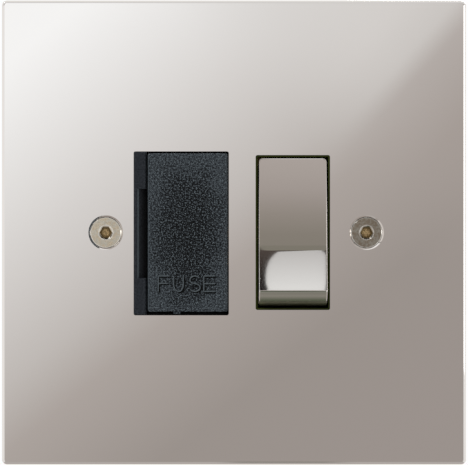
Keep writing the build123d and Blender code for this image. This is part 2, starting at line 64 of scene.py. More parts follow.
MM = 0.001
plate_low, plate_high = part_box("faceplate")
carrier_low, carrier_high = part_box("fuse_carrier")
cap_low, cap_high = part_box("rocker_cap")
left_low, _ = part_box("fixing_screw_left")
right_low, right_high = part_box("fixing_screw_right")
plate_front = plate_low.y
plate_size = plate_high.x - plate_low.x
below_plate = plate_low.z - plate_size
screw_front = right_low.y
screw_spacing = right_low.x - left_low.x
screw_middle = (left_low.x + right_high.x) / 2
screw_head_radius = (right_high.x - right_low.x) / 2

# Camera
photo_width_px = 468
plate_width_px = 464.6
camera_distance = 0.7
sensor_width_mm = 36

# Lamps by name, place, size and power, and the world's light on surfaces that aren't shiny
lamps = (
    ("key_lamp", (-1.25, -1.05, 1.5), 0.8, 60),
    ("fill_lamp", (1.5, -1.65, 0.45), 1.2, 14),
    ("rear_lamp", (0.6, 1.2, 0.9), 0.9, 22),
)
world_light = 0.3

# The face of any flat piece with four corners
one_face = [(0, 1, 2, 3)]

# Floor
floor_z = -0.25
floor_size = 5.0
floor_colour = (0.82, 0.82, 0.81, 1)
floor_roughness = 0.9
floor_white = 0.95
floor_fade = (0.25, 0.8)

# Front card and the bent card above it
card_distance = 1.6
card_half_width = 0.40
card_bottom = -0.235
card_join = 0.19
card_top = 0.70
high_card_spread_deg = 75
high_card_steps = 30
light_slope = (0.45, 0.55)
edge_slope = (0.74, 0.673)
edge_offset = -0.329
corner_fade = (0.3, 0.75)

# Softbox, with each corner's depth and sharpness
overhead_steps = 66
softbox_distance = 1.1
softbox_low_deg = 21.2
softbox_high_deg = 54.5
softbox_left = 0.0188
softbox_right = 0.055
softbox_slant = 0.022
softbox_slant_share = 0.03
softbox_low_left = (0.0085, 5)
softbox_high_left = (0.009, 12)
softbox_low_right = (0.003, 16)
softbox_high_right = (0.004, 12)

# Dark card behind the softbox and its tongue
charcoal_distance = 1.155
charcoal_low_deg = 21.4
charcoal_high_deg = 64
charcoal_half_width = 1.3
tongue_low_deg = 20.1
tongue_left = 0.0145
tongue_right = 0.0163
tongue_flare = 0.0035
tongue_flare_power = 3

# Level cards below the plate and the card above it
flag_drop = 0.15
flag_reach = 0.8
flag_rear = 0.04
flag_half_width = 0.15
flag_dark_x = 0.017
flag_dark_half = 0.0125
flag_dark_fade = 0.012
edge_card_half = 0.03
edge_card_ahead = 1.9 * MM
edge_card_behind = 0.3 * MM
edge_card_drop = 0.3 * MM
top_card_ahead = 0.05
top_card_low = 0.066
top_card_high = 0.16

# What the metal reflects, as linear light at shares of the way across each card
plate_glow = (
    (0.08, (0.91, 0.90, 0.89)),
    (0.30, (0.675, 0.648, 0.628)),
    (0.46, (0.515, 0.480, 0.456)),
    (0.54, (0.405, 0.362, 0.336)),
    (0.70, (0.322, 0.286, 0.262)),
    (0.90, (0.326, 0.287, 0.265)),
)
edge_glow = (
    (0.00, (0.700, 0.680, 0.660)),
    (0.31, (0.642, 0.612, 0.589)),
    (0.397, (0.587, 0.557, 0.533)),
    (0.443, (0.446, 0.404, 0.380)),
    (0.58, (0.376, 0.333, 0.307)),
    (0.85, (0.335, 0.295, 0.270)),
)
high_glow = (
    (0.00, (0.420, 0.375, 0.347)),
    (0.18, (0.392, 0.347, 0.319)),
    (0.31, (0.352, 0.309, 0.283)),
    (0.45, (0.275, 0.242, 0.212)),
    (0.57, (0.227, 0.202, 0.171)),
    (0.66, (0.202, 0.184, 0.152)),
    (0.92, (0.194, 0.177, 0.144)),
)
softbox_glow = (
    (0.00, (0.48, 0.465, 0.45)),
    (0.10, (0.51, 0.49, 0.475)),
    (0.80, (0.672, 0.658, 0.638)),
    (1.00, (0.74, 0.725, 0.70)),
)
charcoal_glow = (
    (0.0, (0.070, 0.055, 0.048)),
    (0.5, (0.020, 0.016, 0.0135)),
    (1.0, (0.012, 0.011, 0.013)),
)
tongue_glow = ((0.0, (0.100, 0.085, 0.070)), (1.0, (0.070, 0.055, 0.048)))
flag_glow = (
    (0.06, (0.180, 0.175, 0.147)),
    (0.11, (0.272, 0.262, 0.227)),
    (0.16, (0.124, 0.137, 0.100)),
    (0.21, (0.077, 0.086, 0.052)),
    (0.60, (0.030, 0.033, 0.018)),
)
flag_side_glow = (0.42, 0.385, 0.36)
top_glow = (0.66, 0.64, 0.62)

# Polished metal, with distances behind the plate's front
plate_tint = (0.78, 0.745, 0.715)
# The olive tint of the rocker's low end is a painted reflection of the lip round it.
painted_lip_reflection_tint = (0.50, 0.49, 0.37)
rear_tint = (0.50, 0.48, 0.46)
satin_and_reflection_height = 1.1 * MM
satin_and_reflection_fade = 0.35 * MM
satin_roughness = 0.38
mirror_roughness = (0.012, 0.03)
rolled_roughness = (0.28, 0.5)
rear_depths = (1.0 * MM, 1.9 * MM)
smear_grain = 14 * MM
rolled_grain = 0.5 * MM
rolled_stretch = (14, 1, 1)

# Finish of the fixing screws, with dark and light tones
screw_warm = ((0.42, 0.355, 0.265), (0.76, 0.66, 0.51))
screw_cold = ((0.38, 0.355, 0.29), (0.70, 0.655, 0.56))
screw_dull = ((0.285, 0.24, 0.185), (0.37, 0.35, 0.30))
# Painted highlight on the rings round the key socket and along the head's rim.
painted_screw_highlight = (0.86, 0.84, 0.80)
screw_highlight_share = 0.6
socket_brown = ((0.055, 0.035, 0.014), (0.34, 0.24, 0.11))
socket_gold = ((0.20, 0.14, 0.065), (0.68, 0.50, 0.27))
socket_roughness = 0.3
screw_roughness = (0.10, 0.20)
screw_grain = 0.35 * MM
screw_grain_relief = 0.8
screw_fleck = 0.7 * MM
screw_fleck_fade = (0.36, 0.64)
screw_tone_fade = 1 * MM
turning_pitch = 0.19 * MM
socket_ring_start = (-0.16 * MM, 0)
socket_ring_end = (0.08 * MM, 0.24 * MM)
rim_ring_start = (-0.3 * MM, -0.15 * MM)
socket_depths = (0.05 * MM, 0.5 * MM)
socket_reach = (0.60, 0.56)
socket_floor = (1.1 * MM, 0.6 * MM)
socket_gold_fade = (0.35, 0.65)

# Grained plastic of the fuse carrier, from its darker middle to its edge
carrier_gloss = 0.07
carrier_coarse = 0.42 * MM
carrier_fine = 0.21 * MM
carrier_fine_share = 0.5
carrier_cloud = 6 * MM
carrier_cloud_share = 0.8
carrier_edge_fade = (0.45, 1.5)
carrier_spread = (3.4, 0.8)
carrier_level = (0.290, 0.518)
carrier_tones = (
    (0.38, (0.0015, 0.0017, 0.0020)),
    (0.50, (0.0150, 0.0178, 0.0215)),
    (0.64, (0.0760, 0.0920, 0.1020)),
)
carrier_roughness = (0.72, 0.42)
# Painted highlight along the rim of the carrier's face.
painted_carrier_rim_highlight = (0.030, 0.037, 0.042)
carrier_rim_fade = (0.965, 0.985)
carrier_rim_depths = (0.8 * MM, 0.4 * MM)

# Black plastic of the moulding, with distances behind the plate's front
moulding_gloss = 0.03
moulding_grain = 0.30 * MM
moulding_fleck_fade = (0.3, 0.7)
moulding_cloud = 5 * MM
moulding_roughness = (0.34, 0.48)
moulding_slate = ((0.0055, 0.0064, 0.0081), (0.0225, 0.0250, 0.0292))
# Painted shade down in the finger recess.
painted_recess_shade = (0.0080, 0.0080, 0.0088)
# Painted highlight on the ledge behind the strip's face.
painted_ledge_highlight = (0.075, 0.090, 0.100)
recess_depths = (-0.5 * MM, 0.7 * MM)
ledge_depths = (-0.50 * MM, -0.45 * MM)
beyond_depths = (-0.42 * MM, -0.15 * MM)
lip_olive = ((0.0135, 0.0172, 0.0026), (0.0195, 0.0242, 0.0048))
# Painted light inside the shaded gap round the rocker.
painted_gap_light = (0.075, 0.09, 0.028)
gap_light_depths = (0.2 * MM, 0.5 * MM)
lip_reach = (1.6 * MM, 1.2 * MM)

# Other plastics by dark and light tone, grain and roughness
plastic_cloud_grains = 25
plastic_cloud_share = 0.5
plastics = (
    ("base_plastic", (0.016, 0.0165, 0.018), (0.034, 0.035, 0.037), 0.35 * MM, (0.4, 0.6)),
    ("plunger_plastic", (0.62, 0.58, 0.5), (0.76, 0.73, 0.66), 0.4 * MM, (0.35, 0.5)),
    ("ceramic", (0.72, 0.70, 0.65), (0.86, 0.845, 0.80), 0.25 * MM, (0.5, 0.75)),
)

# Other metals by dark and light tone, grain, stretch of the grain and roughness
metal_cloud = 4 * MM
metal_cloud_share = 0.6
metals = (
    ("plated_cap", (0.62, 0.61, 0.58), (0.80, 0.79, 0.77), 0.3 * MM, (3, 3, 1), (0.14, 0.3)),
    ("strip_brass", (0.62, 0.42, 0.17), (0.80, 0.60, 0.31), 0.25 * MM, (1, 1, 8), (0.2, 0.4)),
    ("terminal_brass", (0.66, 0.47, 0.20), (0.83, 0.65, 0.35), 0.2 * MM, (6, 1, 1), (0.18, 0.36)),
    ("contact_copper", (0.60, 0.30, 0.19), (0.78, 0.46, 0.32), 0.25 * MM, (1, 1, 8), (0.2, 0.4)),
    ("silver", (0.66, 0.65, 0.63), (0.86, 0.85, 0.83), 0.2 * MM, (1, 1, 1), (0.25, 0.45)),
    ("spring_steel", (0.36, 0.36, 0.38), (0.56, 0.56, 0.58), 0.15 * MM, (1, 4, 1), (0.2, 0.35)),
    ("zinc_steel", (0.46, 0.46, 0.43), (0.70, 0.70, 0.66), 0.3 * MM, (1, 1, 1), (0.22, 0.42)),
)
dull_brass = ("dull_brass", (0.07, 0.05, 0.02), (0.14, 0.10, 0.05), 0.25 * MM, (1, 1, 8), (0.4, 0.6))

# Fixing screws
screw_segments = 48
screw_pitch = 0.6 * MM
screw_thread_depth = 0.36 * MM
screw_thread_radius = 1.75 * MM
screw_neck_radius = 1.45 * MM
screw_neck_end = 1.0 * MM
screw_rim = 0.12 * MM
screw_rim_round = 0.3 * screw_rim
screw_tip_taper = 0.5
screw_sharp_deg = 15
socket_rim = 1.62 * MM
socket_bevel = 0.12 * MM
key_width = 2.5 * MM
key_depth = 1.6 * MM
rings_per_pitch = 6

# Raised word on the carrier, with each letter's left edge and width
letter_places = {
    "F": (-17.45 * MM, 2.6 * MM),
    "U": (-13.9 * MM, 2.2 * MM),
    "S": (-10.25 * MM, 2.45 * MM),
    "E": (-6.95 * MM, 2.6 * MM),
}
stroke_radius = 0.17 * MM
letter_height = 3.55 * MM
letter_base_z = -13.6 * MM
letter_gloss = 0.08
letter_grain = 0.30 * MM
# Painted highlight on the strokes' crests and painted shade at their feet.
painted_crest_highlight = ((0.032, 0.038, 0.042), (0.074, 0.087, 0.095))
painted_foot_shade = (0.0006, 0.0007, 0.0008)
letter_roughness = (0.32, 0.5)
letter_crest = (-0.5 * stroke_radius, -0.9 * stroke_radius)
letter_sharp_deg = 50
stroke_resolution = 3
stroke_rise = 2.0
# The low dark strokes beside the word are a painted shadow, moved right and down.
shade_shift = 0.25 * MM
shade_rise = 0.3
arc_points = 10


def add(tree, kind, inputs=None, **settings):
    """A shader node with its settings, and its inputs as values or linked sockets."""
    made = tree.nodes.new(kind)
    for key, value in settings.items():
        setattr(made, key, value)
    for key, value in (inputs or {}).items():
        if isinstance(value, bpy.types.NodeSocket):
            tree.links.new(value, made.inputs[key])
        else:
            made.inputs[key].default_value = value
    return made


def work(tree, operation, *values):
    """The result of one calculation on numbers or sockets."""
    return add(tree, "ShaderNodeMath", dict(enumerate(values)), operation=operation).outputs[0]


def diagonal(tree, first, second):
    """The diagonal of a rectangle from its sides."""
    squares = work(tree, "ADD", work(tree, "POWER", first, 2), work(tree, "POWER", second, 2))
    return work(tree, "SQRT", squares)


def blended(tree, share, first, second):
    """Two numbers blended by a share of the second."""
    return work(tree, "MULTIPLY_ADD", second, share, work(tree, "MULTIPLY", first, 1 - share))


def fade(tree, value, low, high):
    """Zero at low and one at high, smooth between."""
    inputs = {"Value": value, "From Min": low, "From Max": high}
    return add(tree, "ShaderNodeMapRange", inputs, interpolation_type="SMOOTHSTEP").outputs["Result"]


def fade_past(tree, value, mark, distances):
    """A fade between two distances past a mark."""
    return fade(tree, value, mark + distances[0], mark + distances[1])


def even_fade(tree, value, low, high):
    """Zero at low and one at high, even between."""
    inputs = {"Value": value, "From Min": low, "From Max": high}
    return add(tree, "ShaderNodeMapRange", inputs).outputs["Result"]


def between(tree, value, low, high):
    """A share from 0 to 1 as a number from low to high."""
    inputs = {"Value": value, "To Min": low, "To Max": high}
    return add(tree, "ShaderNodeMapRange", inputs).outputs["Result"]


def ramp(tree, value, stops):
    """A colour picked from stops by a value."""
    made = add(tree, "ShaderNodeValToRGB", {"Fac": value})
    elements = made.color_ramp.elements
    while len(elements) < len(stops):
        elements.new(1.0)
    for element, (share, colour) in zip(elements, stops):
        element.position = share
        element.color = (*colour, 1)
    return made.outputs["Color"]


def mixed(tree, share, first, second):
    """Two colours mixed by a share of the second."""
    made = add(tree, "ShaderNodeMix", {"Factor": share}, data_type="RGBA")
    for socket, value in ((made.inputs[6], first), (made.inputs[7], second)):
        if isinstance(value, bpy.types.NodeSocket):
            tree.links.new(value, socket)
        else:
            socket.default_value = (*value, 1)
    return made.outputs[2]


def place(tree):
    """The point on the piece, in metres, as a vector and its X, Y and Z."""
    vector = add(tree, "ShaderNodeTexCoord").outputs["Object"]
    apart = add(tree, "ShaderNodeSeparateXYZ", {0: vector})
    return vector, apart.outputs["X"], apart.outputs["Y"], apart.outputs["Z"]


def speckle(tree, vector, grain, detail, stretch=(1, 1, 1)):
    """Noise with grains of a size in metres, drawn out by a stretch."""
    scale = [1 / (grain * along) for along in stretch]
    mapped = add(tree, "ShaderNodeMapping", {"Vector": vector, "Scale": scale}).outputs["Vector"]
    inputs = {"Vector": mapped, "Scale": 1.0, "Detail": detail}
    return add(tree, "ShaderNodeTexNoise", inputs).outputs["Fac"]


def bumped(tree, shader, height, strength, depth):
    """Relief on a shader, up to a depth in metres."""
    made = add(tree, "ShaderNodeBump", {"Height": height, "Strength": strength, "Distance": depth})
    tree.links.new(made.outputs["Normal"], shader.inputs["Normal"])


def surface(name, metallic=0.0, gloss=0.5):
    """A new material with its node tree and shader."""
    material = bpy.data.materials.new(name)
    material.use_nodes = True
    tree = material.node_tree
    shader = tree.nodes["Principled BSDF"]
    shader.inputs["Metallic"].default_value = metallic
    shader.inputs["Specular IOR Level"].default_value = gloss
    return material, tree, shader


def coat(tree, shader, colour, rough):
    """Colour and roughness of a shader, from sockets."""
    tree.links.new(colour, shader.inputs["Base Color"])
    tree.links.new(rough, shader.inputs["Roughness"])


def polished_nickel(name, satin_and_reflection_z):
    """Mirror finish in front, plain rolled metal behind, and below a height a rougher finish, tinted olive
    there as a painted reflection of the lip.
    """
    material, tree, shader = surface(name, metallic=1.0)
    vector, _, y, z = place(tree)
    smear = speckle(tree, vector, smear_grain, detail=4)
    rolled = speckle(tree, vector, rolled_grain, detail=4, stretch=rolled_stretch)
    rear = fade_past(tree, y, plate_front, rear_depths)
    clean = between(tree, smear, *mirror_roughness)
    dull = between(tree, rolled, *rolled_roughness)
    satin_and_reflection = fade(tree, z, satin_and_reflection_z + satin_and_reflection_fade, satin_and_reflection_z - satin_and_reflection_fade)
    front = work(tree, "MULTIPLY_ADD", satin_and_reflection, satin_roughness, clean)
    rough = work(tree, "MULTIPLY_ADD", rear, work(tree, "SUBTRACT", dull, front), front)
    # The low end's olive tint is a painted reflection of the lip round the rocker.
    bright = mixed(tree, satin_and_reflection, plate_tint, painted_lip_reflection_tint)
    coat(tree, shader, mixed(tree, rear, bright, rear_tint), rough)
    bumped(tree, shader, work(tree, "MULTIPLY", rolled, rear), strength=0.25, depth=0.02 * MM)
    return material


def nickel_screw():
    """Satin metal with turning rings and painted highlights along its edges, and a brown deposit in the key
    socket.
    """
    material, tree, shader = surface("nickel_screw", metallic=1.0)
    vector, x, y, z = place(tree)
    from_middle = work(tree, "ABSOLUTE", work(tree, "SUBTRACT", x, screw_middle))
    along = work(tree, "SUBTRACT", from_middle, screw_spacing / 2)
    radius = diagonal(tree, along, z)
    rings = work(tree, "SINE", work(tree, "MULTIPLY", radius, 2 * math.pi / turning_pitch))
    fine = speckle(tree, vector, screw_grain, detail=5)
    flecks = fade(tree, speckle(tree, vector, screw_fleck, detail=3), *screw_fleck_fade)
    # The left screw is bright and the right one dull.
    warm = mixed(tree, fine, *screw_warm)
    cold = mixed(tree, fine, *screw_cold)
    bright = mixed(tree, flecks, warm, cold)
    dull = mixed(tree, flecks, *screw_dull)
    right = fade(tree, x, screw_middle - screw_tone_fade, screw_middle + screw_tone_fade)
    head = mixed(tree, right, bright, dull)
    # Painted highlights: bright rings round the key socket and along the head's rim.
    past_socket = fade_past(tree, radius, socket_rim, socket_ring_start)
    past_ring = fade_past(tree, radius, socket_rim, socket_ring_end)
    at_rim = fade_past(tree, radius, screw_head_radius, rim_ring_start)
    highlight_ring = work(tree, "ADD", work(tree, "SUBTRACT", past_socket, past_ring), at_rim)
    head = mixed(tree, work(tree, "MULTIPLY", highlight_ring, screw_highlight_share), head, painted_screw_highlight)
    # The deposit is brown on the socket's walls and golden on its floor.
    deep = fade_past(tree, y, screw_front, socket_depths)
    near = fade(tree, work(tree, "DIVIDE", radius, key_width), *socket_reach)
    socket = work(tree, "MULTIPLY", deep, near)
    brown = mixed(tree, fine, *socket_brown)
    gold = mixed(tree, fade(tree, fine, *socket_gold_fade), *socket_gold)
    deposit = mixed(tree, fade(tree, radius, *socket_floor), brown, gold)
    head_rough = between(tree, fine, *screw_roughness)
    rough = work(tree, "MULTIPLY_ADD", socket, socket_roughness, head_rough)
    coat(tree, shader, mixed(tree, socket, head, deposit), rough)
    relief = work(tree, "MULTIPLY_ADD", fine, screw_grain_relief, rings)
    bumped(tree, shader, relief, strength=0.12, depth=0.01 * MM)
    return material


def grained_plastic():
    """Black plastic with a coarse grain, darker in the middle and lighter toward its edges, with a painted
    highlight along its rim.
    """
    material, tree, shader = surface("grained_plastic", gloss=carrier_gloss)
    vector, x, y, z = place(tree)
    coarse = speckle(tree, vector, carrier_coarse, detail=2)
    fine = speckle(tree, vector, carrier_fine, detail=2)
    cloud = speckle(tree, vector, carrier_cloud, detail=2)
    grain = blended(tree, carrier_fine_share, coarse, fine)
    middle = (carrier_low + carrier_high) / 2
    half = (carrier_high - carrier_low) / 2
    across = work(tree, "MULTIPLY_ADD", x, 1 / half.x, -middle.x / half.x)
    up = work(tree, "MULTIPLY_ADD", z, 1 / half.z, -middle.z / half.z)
    off = diagonal(tree, across, up)
    edge = fade(tree, work(tree, "MULTIPLY_ADD", cloud, carrier_cloud_share, off), *carrier_edge_fade)
    spread = between(tree, edge, *carrier_spread)
    level = between(tree, edge, *carrier_level)
    fleck = work(tree, "SUBTRACT", grain, 0.5)
    tone = ramp(tree, work(tree, "MULTIPLY_ADD", fleck, spread, level), carrier_tones)
    # A painted highlight runs along the rim of the carrier's face.
    outer = work(tree, "MAXIMUM", work(tree, "ABSOLUTE", across), work(tree, "ABSOLUTE", up))
    front = fade_past(tree, y, carrier_low.y, carrier_rim_depths)
    rim = work(tree, "MULTIPLY", fade(tree, outer, *carrier_rim_fade), front)
    coat(tree, shader, mixed(tree, rim, tone, painted_carrier_rim_highlight), between(tree, grain, *carrier_roughness))
    bumped(tree, shader, grain, strength=0.9, depth=0.16 * MM)
    return material


def letter_plastic():
    """The same black plastic on the raised word, with a painted highlight on its crest and painted shade at
    its foot.
    """
    material, tree, shader = surface("letter_plastic", gloss=letter_gloss)
    vector, _, y, _ = place(tree)
    fine = speckle(tree, vector, letter_grain, detail=2)
    crest = fade_past(tree, y, carrier_low.y, letter_crest)
    # Painted shade at the foot, painted highlight on the crest.
    tone = mixed(tree, crest, painted_foot_shade, mixed(tree, fine, *painted_crest_highlight))
    coat(tree, shader, tone, between(tree, fine, *letter_roughness))
    return material


def black_plastic():
    """Smooth black moulding, with painted shade down in the finger recess, a painted highlight on the ledge
    behind the strip's face, and a little green round the rocker with painted light inside its gap.
    """
    material, tree, shader = surface("black_plastic", gloss=moulding_gloss)
    vector, x, y, z = place(tree)
    fine = speckle(tree, vector, moulding_grain, detail=3)
    cloud = speckle(tree, vector, moulding_cloud, detail=3)
    slate = mixed(tree, fade(tree, fine, *moulding_fleck_fade), *moulding_slate)
    # Painted shade: darker down in the finger recess.
    shaded = mixed(tree, fade_past(tree, y, plate_front, recess_depths), slate, painted_recess_shade)
    # A painted highlight lies on the ledge just behind the strip's face.
    ledge = fade_past(tree, y, plate_front, ledge_depths)
    beyond = fade_past(tree, y, plate_front, beyond_depths)
    ledge_highlight = work(tree, "SUBTRACT", ledge, beyond)
    shaded = mixed(tree, ledge_highlight, shaded, painted_ledge_highlight)
    # The lip round the rocker is olive, and painted paler inside its gap as painted light where the gap
    # lies in shade.
    olive = mixed(tree, cloud, *lip_olive)
    gap = mixed(tree, fade_past(tree, y, plate_front, gap_light_depths), olive, painted_gap_light)
    middle = (cap_low + cap_high) / 2
    half = (cap_high - cap_low) / 2
    across = work(tree, "ABSOLUTE", work(tree, "SUBTRACT", x, middle.x))
    up = work(tree, "ABSOLUTE", work(tree, "SUBTRACT", z, middle.z))
    beside = fade_past(tree, across, half.x, lip_reach)
    level = fade_past(tree, up, half.z, lip_reach)
    opening = work(tree, "MULTIPLY", beside, level)
    coat(tree, shader, mixed(tree, opening, shaded, gap), between(tree, cloud, *moulding_roughness))
    bumped(tree, shader, fine, strength=0.12, depth=0.03 * MM)
    return material


def plain_plastic(name, dark, light, grain, rough):
    """Moulded plastic with a fine speckle."""
    material, tree, shader = surface(name)
    vector, _, _, _ = place(tree)
    fine = speckle(tree, vector, grain, detail=4)
    cloud = speckle(tree, vector, plastic_cloud_grains * grain, detail=3)
    share = blended(tree, plastic_cloud_share, fine, cloud)
    coat(tree, shader, mixed(tree, share, dark, light), between(tree, cloud, *rough))
    bumped(tree, shader, fine, strength=0.3, depth=0.05 * MM)
    return material


def worked_metal(name, dark, light, grain, stretch, rough):
    """Rolled, drawn or plated metal with marks along its grain."""
    material, tree, shader = surface(name, metallic=1.0)
    vector, _, _, _ = place(tree)
    lines = speckle(tree, vector, grain, detail=4, stretch=stretch)
    cloud = speckle(tree, vector, metal_cloud, detail=3)
    share = blended(tree, metal_cloud_share, lines, cloud)
    coat(tree, shader, mixed(tree, share, dark, light), between(tree, share, *rough))
    bumped(tree, shader, lines, strength=0.2, depth=0.02 * MM)
    return material


def dress_nodes():
    """Gives every solid the finish of its material slot, and two of them a finish of their own."""
    finishes = {
        "polished_nickel": polished_nickel("polished_nickel", below_plate),
        "nickel_screw": nickel_screw(),
        "grained_plastic": grained_plastic(),
        "black_plastic": black_plastic(),
    }
    finishes.update((values[0], plain_plastic(*values)) for values in plastics)
    finishes.update((values[0], worked_metal(*values)) for values in metals)
    for part in frame["record"]["subparts"]:
        node = frame["nodes"][part["node"]]
        node.data.materials.clear()
        node.data.materials.append(finishes[part["material_slot"]])
    own_finishes = {
        "rocker_cap": polished_nickel("rocker_nickel", cap_low.z + satin_and_reflection_height),
        "neutral_busbar": worked_metal(*dull_brass),
    }
    for node, finish in own_finishes.items():
        frame["nodes"][node].data.materials[0] = finish
    return finishes


def linked(name, data):
    """An object with its data, in the scene."""
    made = bpy.data.objects.new(name, data)
    bpy.context.scene.collection.objects.link(made)
    return made


def mesh_piece(name, points, faces):
    """A mesh object from its points and faces."""
    mesh = bpy.data.meshes.new(name)
    mesh.from_pydata(points, [], faces)
    mesh.update()
    return linked(name, mesh)


def untinted(colour):
    """Reflected light as the light that falls on the tinted metal."""
    return [light / tint for light, tint in zip(colour, plate_tint)]


def card_ramp(tree, value, stops):
    """A card's light, picked by a value from stops of reflected light."""
    return ramp(tree, value, [(share, untinted(colour)) for share, colour in stops])


def plain_paint(colour):
    """A paint of one colour all over."""
    def paint(tree):
        return (*untinted(colour), 1)
    return paint


def front_paint(tree):
    """Light falling off from the upper left, with a soft edge across the upper right."""
    _, x, _, z = place(tree)
    reach = plate_size * (camera_distance + card_distance) / camera_distance
    across = work(tree, "MULTIPLY_ADD", x, 1 / reach, 0.5)
    down = work(tree, "MULTIPLY_ADD", z, -1 / reach, 0.5)
    share = work(tree, "MULTIPLY_ADD", across, light_slope[0], work(tree, "MULTIPLY", down, light_slope[1]))
    gradual = card_ramp(tree, share, plate_glow)
    below = work(tree, "MULTIPLY_ADD", down, edge_slope[1], edge_offset)
    past = work(tree, "MULTIPLY_ADD", across, edge_slope[0], below)
    edged = card_ramp(tree, past, edge_glow)
    corner = fade(tree, work(tree, "SUBTRACT", across, down), *corner_fade)
    return mixed(tree, corner, gradual, edged)


def by_height(low, high, stops):
    """A paint that changes with height only."""
    def paint(tree):
        _, _, _, z = place(tree)
        return card_ramp(tree, even_fade(tree, z, low, high), stops)
    return paint


def flag_paint(tree):
    """Dark below the rocker and darkest far from the wall, grey to the sides."""
    _, x, y, _ = place(tree)
    share = even_fade(tree, y, flag_rear, -flag_reach)
    off = work(tree, "ABSOLUTE", work(tree, "SUBTRACT", x, flag_dark_x))
    beside = fade(tree, off, flag_dark_half, flag_dark_half + flag_dark_fade)
    dark = card_ramp(tree, share, flag_glow)
    return mixed(tree, beside, dark, untinted(flag_side_glow))


def glow(name, paint):
    """A card's material, whose light is painted by a function of the card's own coordinates."""
    material = bpy.data.materials.new(name)
    material.use_nodes = True
    tree = material.node_tree
    tree.nodes.remove(tree.nodes["Principled BSDF"])
    light = add(tree, "ShaderNodeEmission", {"Color": paint(tree)})
    tree.links.new(light.outputs[0], tree.nodes["Material Output"].inputs["Surface"])
    return material


def card(name, points, faces, paint):
    """A card of the studio, which shows only in reflections, with its paint."""
    piece = mesh_piece(name, points, faces)
    piece.visible_camera = False
    piece.visible_diffuse = False
    piece.visible_shadow = False
    piece.data.materials.append(glow(name, paint))
    piece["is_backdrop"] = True


def flat_card(name, x, y, z, paint):
    """An upright card that faces the plate."""
    points = [(x[0], y, z[0]), (x[1], y, z[0]), (x[1], y, z[1]), (x[0], y, z[1])]
    card(name, points, one_face, paint)


def level_corners(x, y, z):
    """The corners of a level rectangle."""
    return [(x[0], y[0], z), (x[1], y[0], z), (x[1], y[1], z), (x[0], y[1], z)]


def level_card(name, x, y, z, paint):
    """A card that lies level below the plate."""
    points = level_corners(x, y, z)
    card(name, points, one_face, paint)


def strip_faces(steps):
    """The faces of a strip whose points come in pairs along it."""
    return [(2 * n, 2 * n + 1, 2 * n + 3, 2 * n + 2) for n in range(steps)]


def round_card(name, low, high, paint):
    """An upright card bent round the plate."""
    points = []
    for step in range(high_card_steps + 1):
        angle = math.radians(high_card_spread_deg * (2 * step / high_card_steps - 1))
        x = card_distance * math.sin(angle)
        y = plate_front - card_distance * math.cos(angle)
        points += [(x, y, low), (x, y, high)]
    card(name, points, strip_faces(high_card_steps), paint)


def aloft(x, degrees, distance):
    """A point ahead of the plate at an angle above the horizon."""
    angle = math.radians(degrees)
    return (x, plate_front - distance * math.cos(angle), distance * math.sin(angle))


def overhead_card(name, edges, distance, angles, stops):
    """A curved card over the plate between two angles, with its sides given for shares of its height."""
    low, high = angles
    points = []
    for step in range(overhead_steps + 1):
        share = step / overhead_steps
        degrees = low + (high - low) * share
        points += [aloft(x, degrees, distance) for x in edges(share)]
    heights = [math.sin(math.radians(degrees)) * distance for degrees in angles]
    card(name, points, strip_faces(overhead_steps), by_height(*heights, stops))


def rounding(share, low, high):
    """How far a side comes in at its low and its high corner."""
    return low[0] * (1 - share)**low[1] + high[0] * share**high[1]


def softbox_edges(share):
    """The softbox's sides, with its corners rounded off and its lower edge slanted."""
    slant = softbox_slant * max(0, 1 - share / softbox_slant_share)
    left = softbox_left + slant + rounding(share, softbox_low_left, softbox_high_left)
    right = softbox_right - rounding(share, softbox_low_right, softbox_high_right)
    return (left, right)


def charcoal_edges(share):
    """The straight sides of the dark card behind the softbox."""
    return (-charcoal_half_width, charcoal_half_width)


def tongue_edges(share):
    """The dark card's tongue, which narrows as it hangs down."""
    return (tongue_left, tongue_right + tongue_flare * share**tongue_flare_power)


def pale_floor():
    """Pale floor, as white as the background to metal and, away from the object, to the camera."""
    material, tree, shader = surface("floor", gloss=0.0)
    shader.inputs["Base Color"].default_value = floor_colour
    shader.inputs["Roughness"].default_value = floor_roughness
    path = add(tree, "ShaderNodeLightPath")
    seen = work(tree, "MAXIMUM", path.outputs["Is Glossy Ray"], path.outputs["Is Transmission Ray"])
    _, x, y, _ = place(tree)
    far = fade(tree, diagonal(tree, x, y), *floor_fade)
    seen = work(tree, "MAXIMUM", seen, work(tree, "MULTIPLY", path.outputs["Is Camera Ray"], far))
    white = add(tree, "ShaderNodeEmission", {"Strength": floor_white})
    both = add(tree, "ShaderNodeMixShader", {0: seen, 1: shader.outputs[0], 2: white.outputs[0]})
    tree.links.new(both.outputs[0], tree.nodes["Material Output"].inputs["Surface"])
    return material


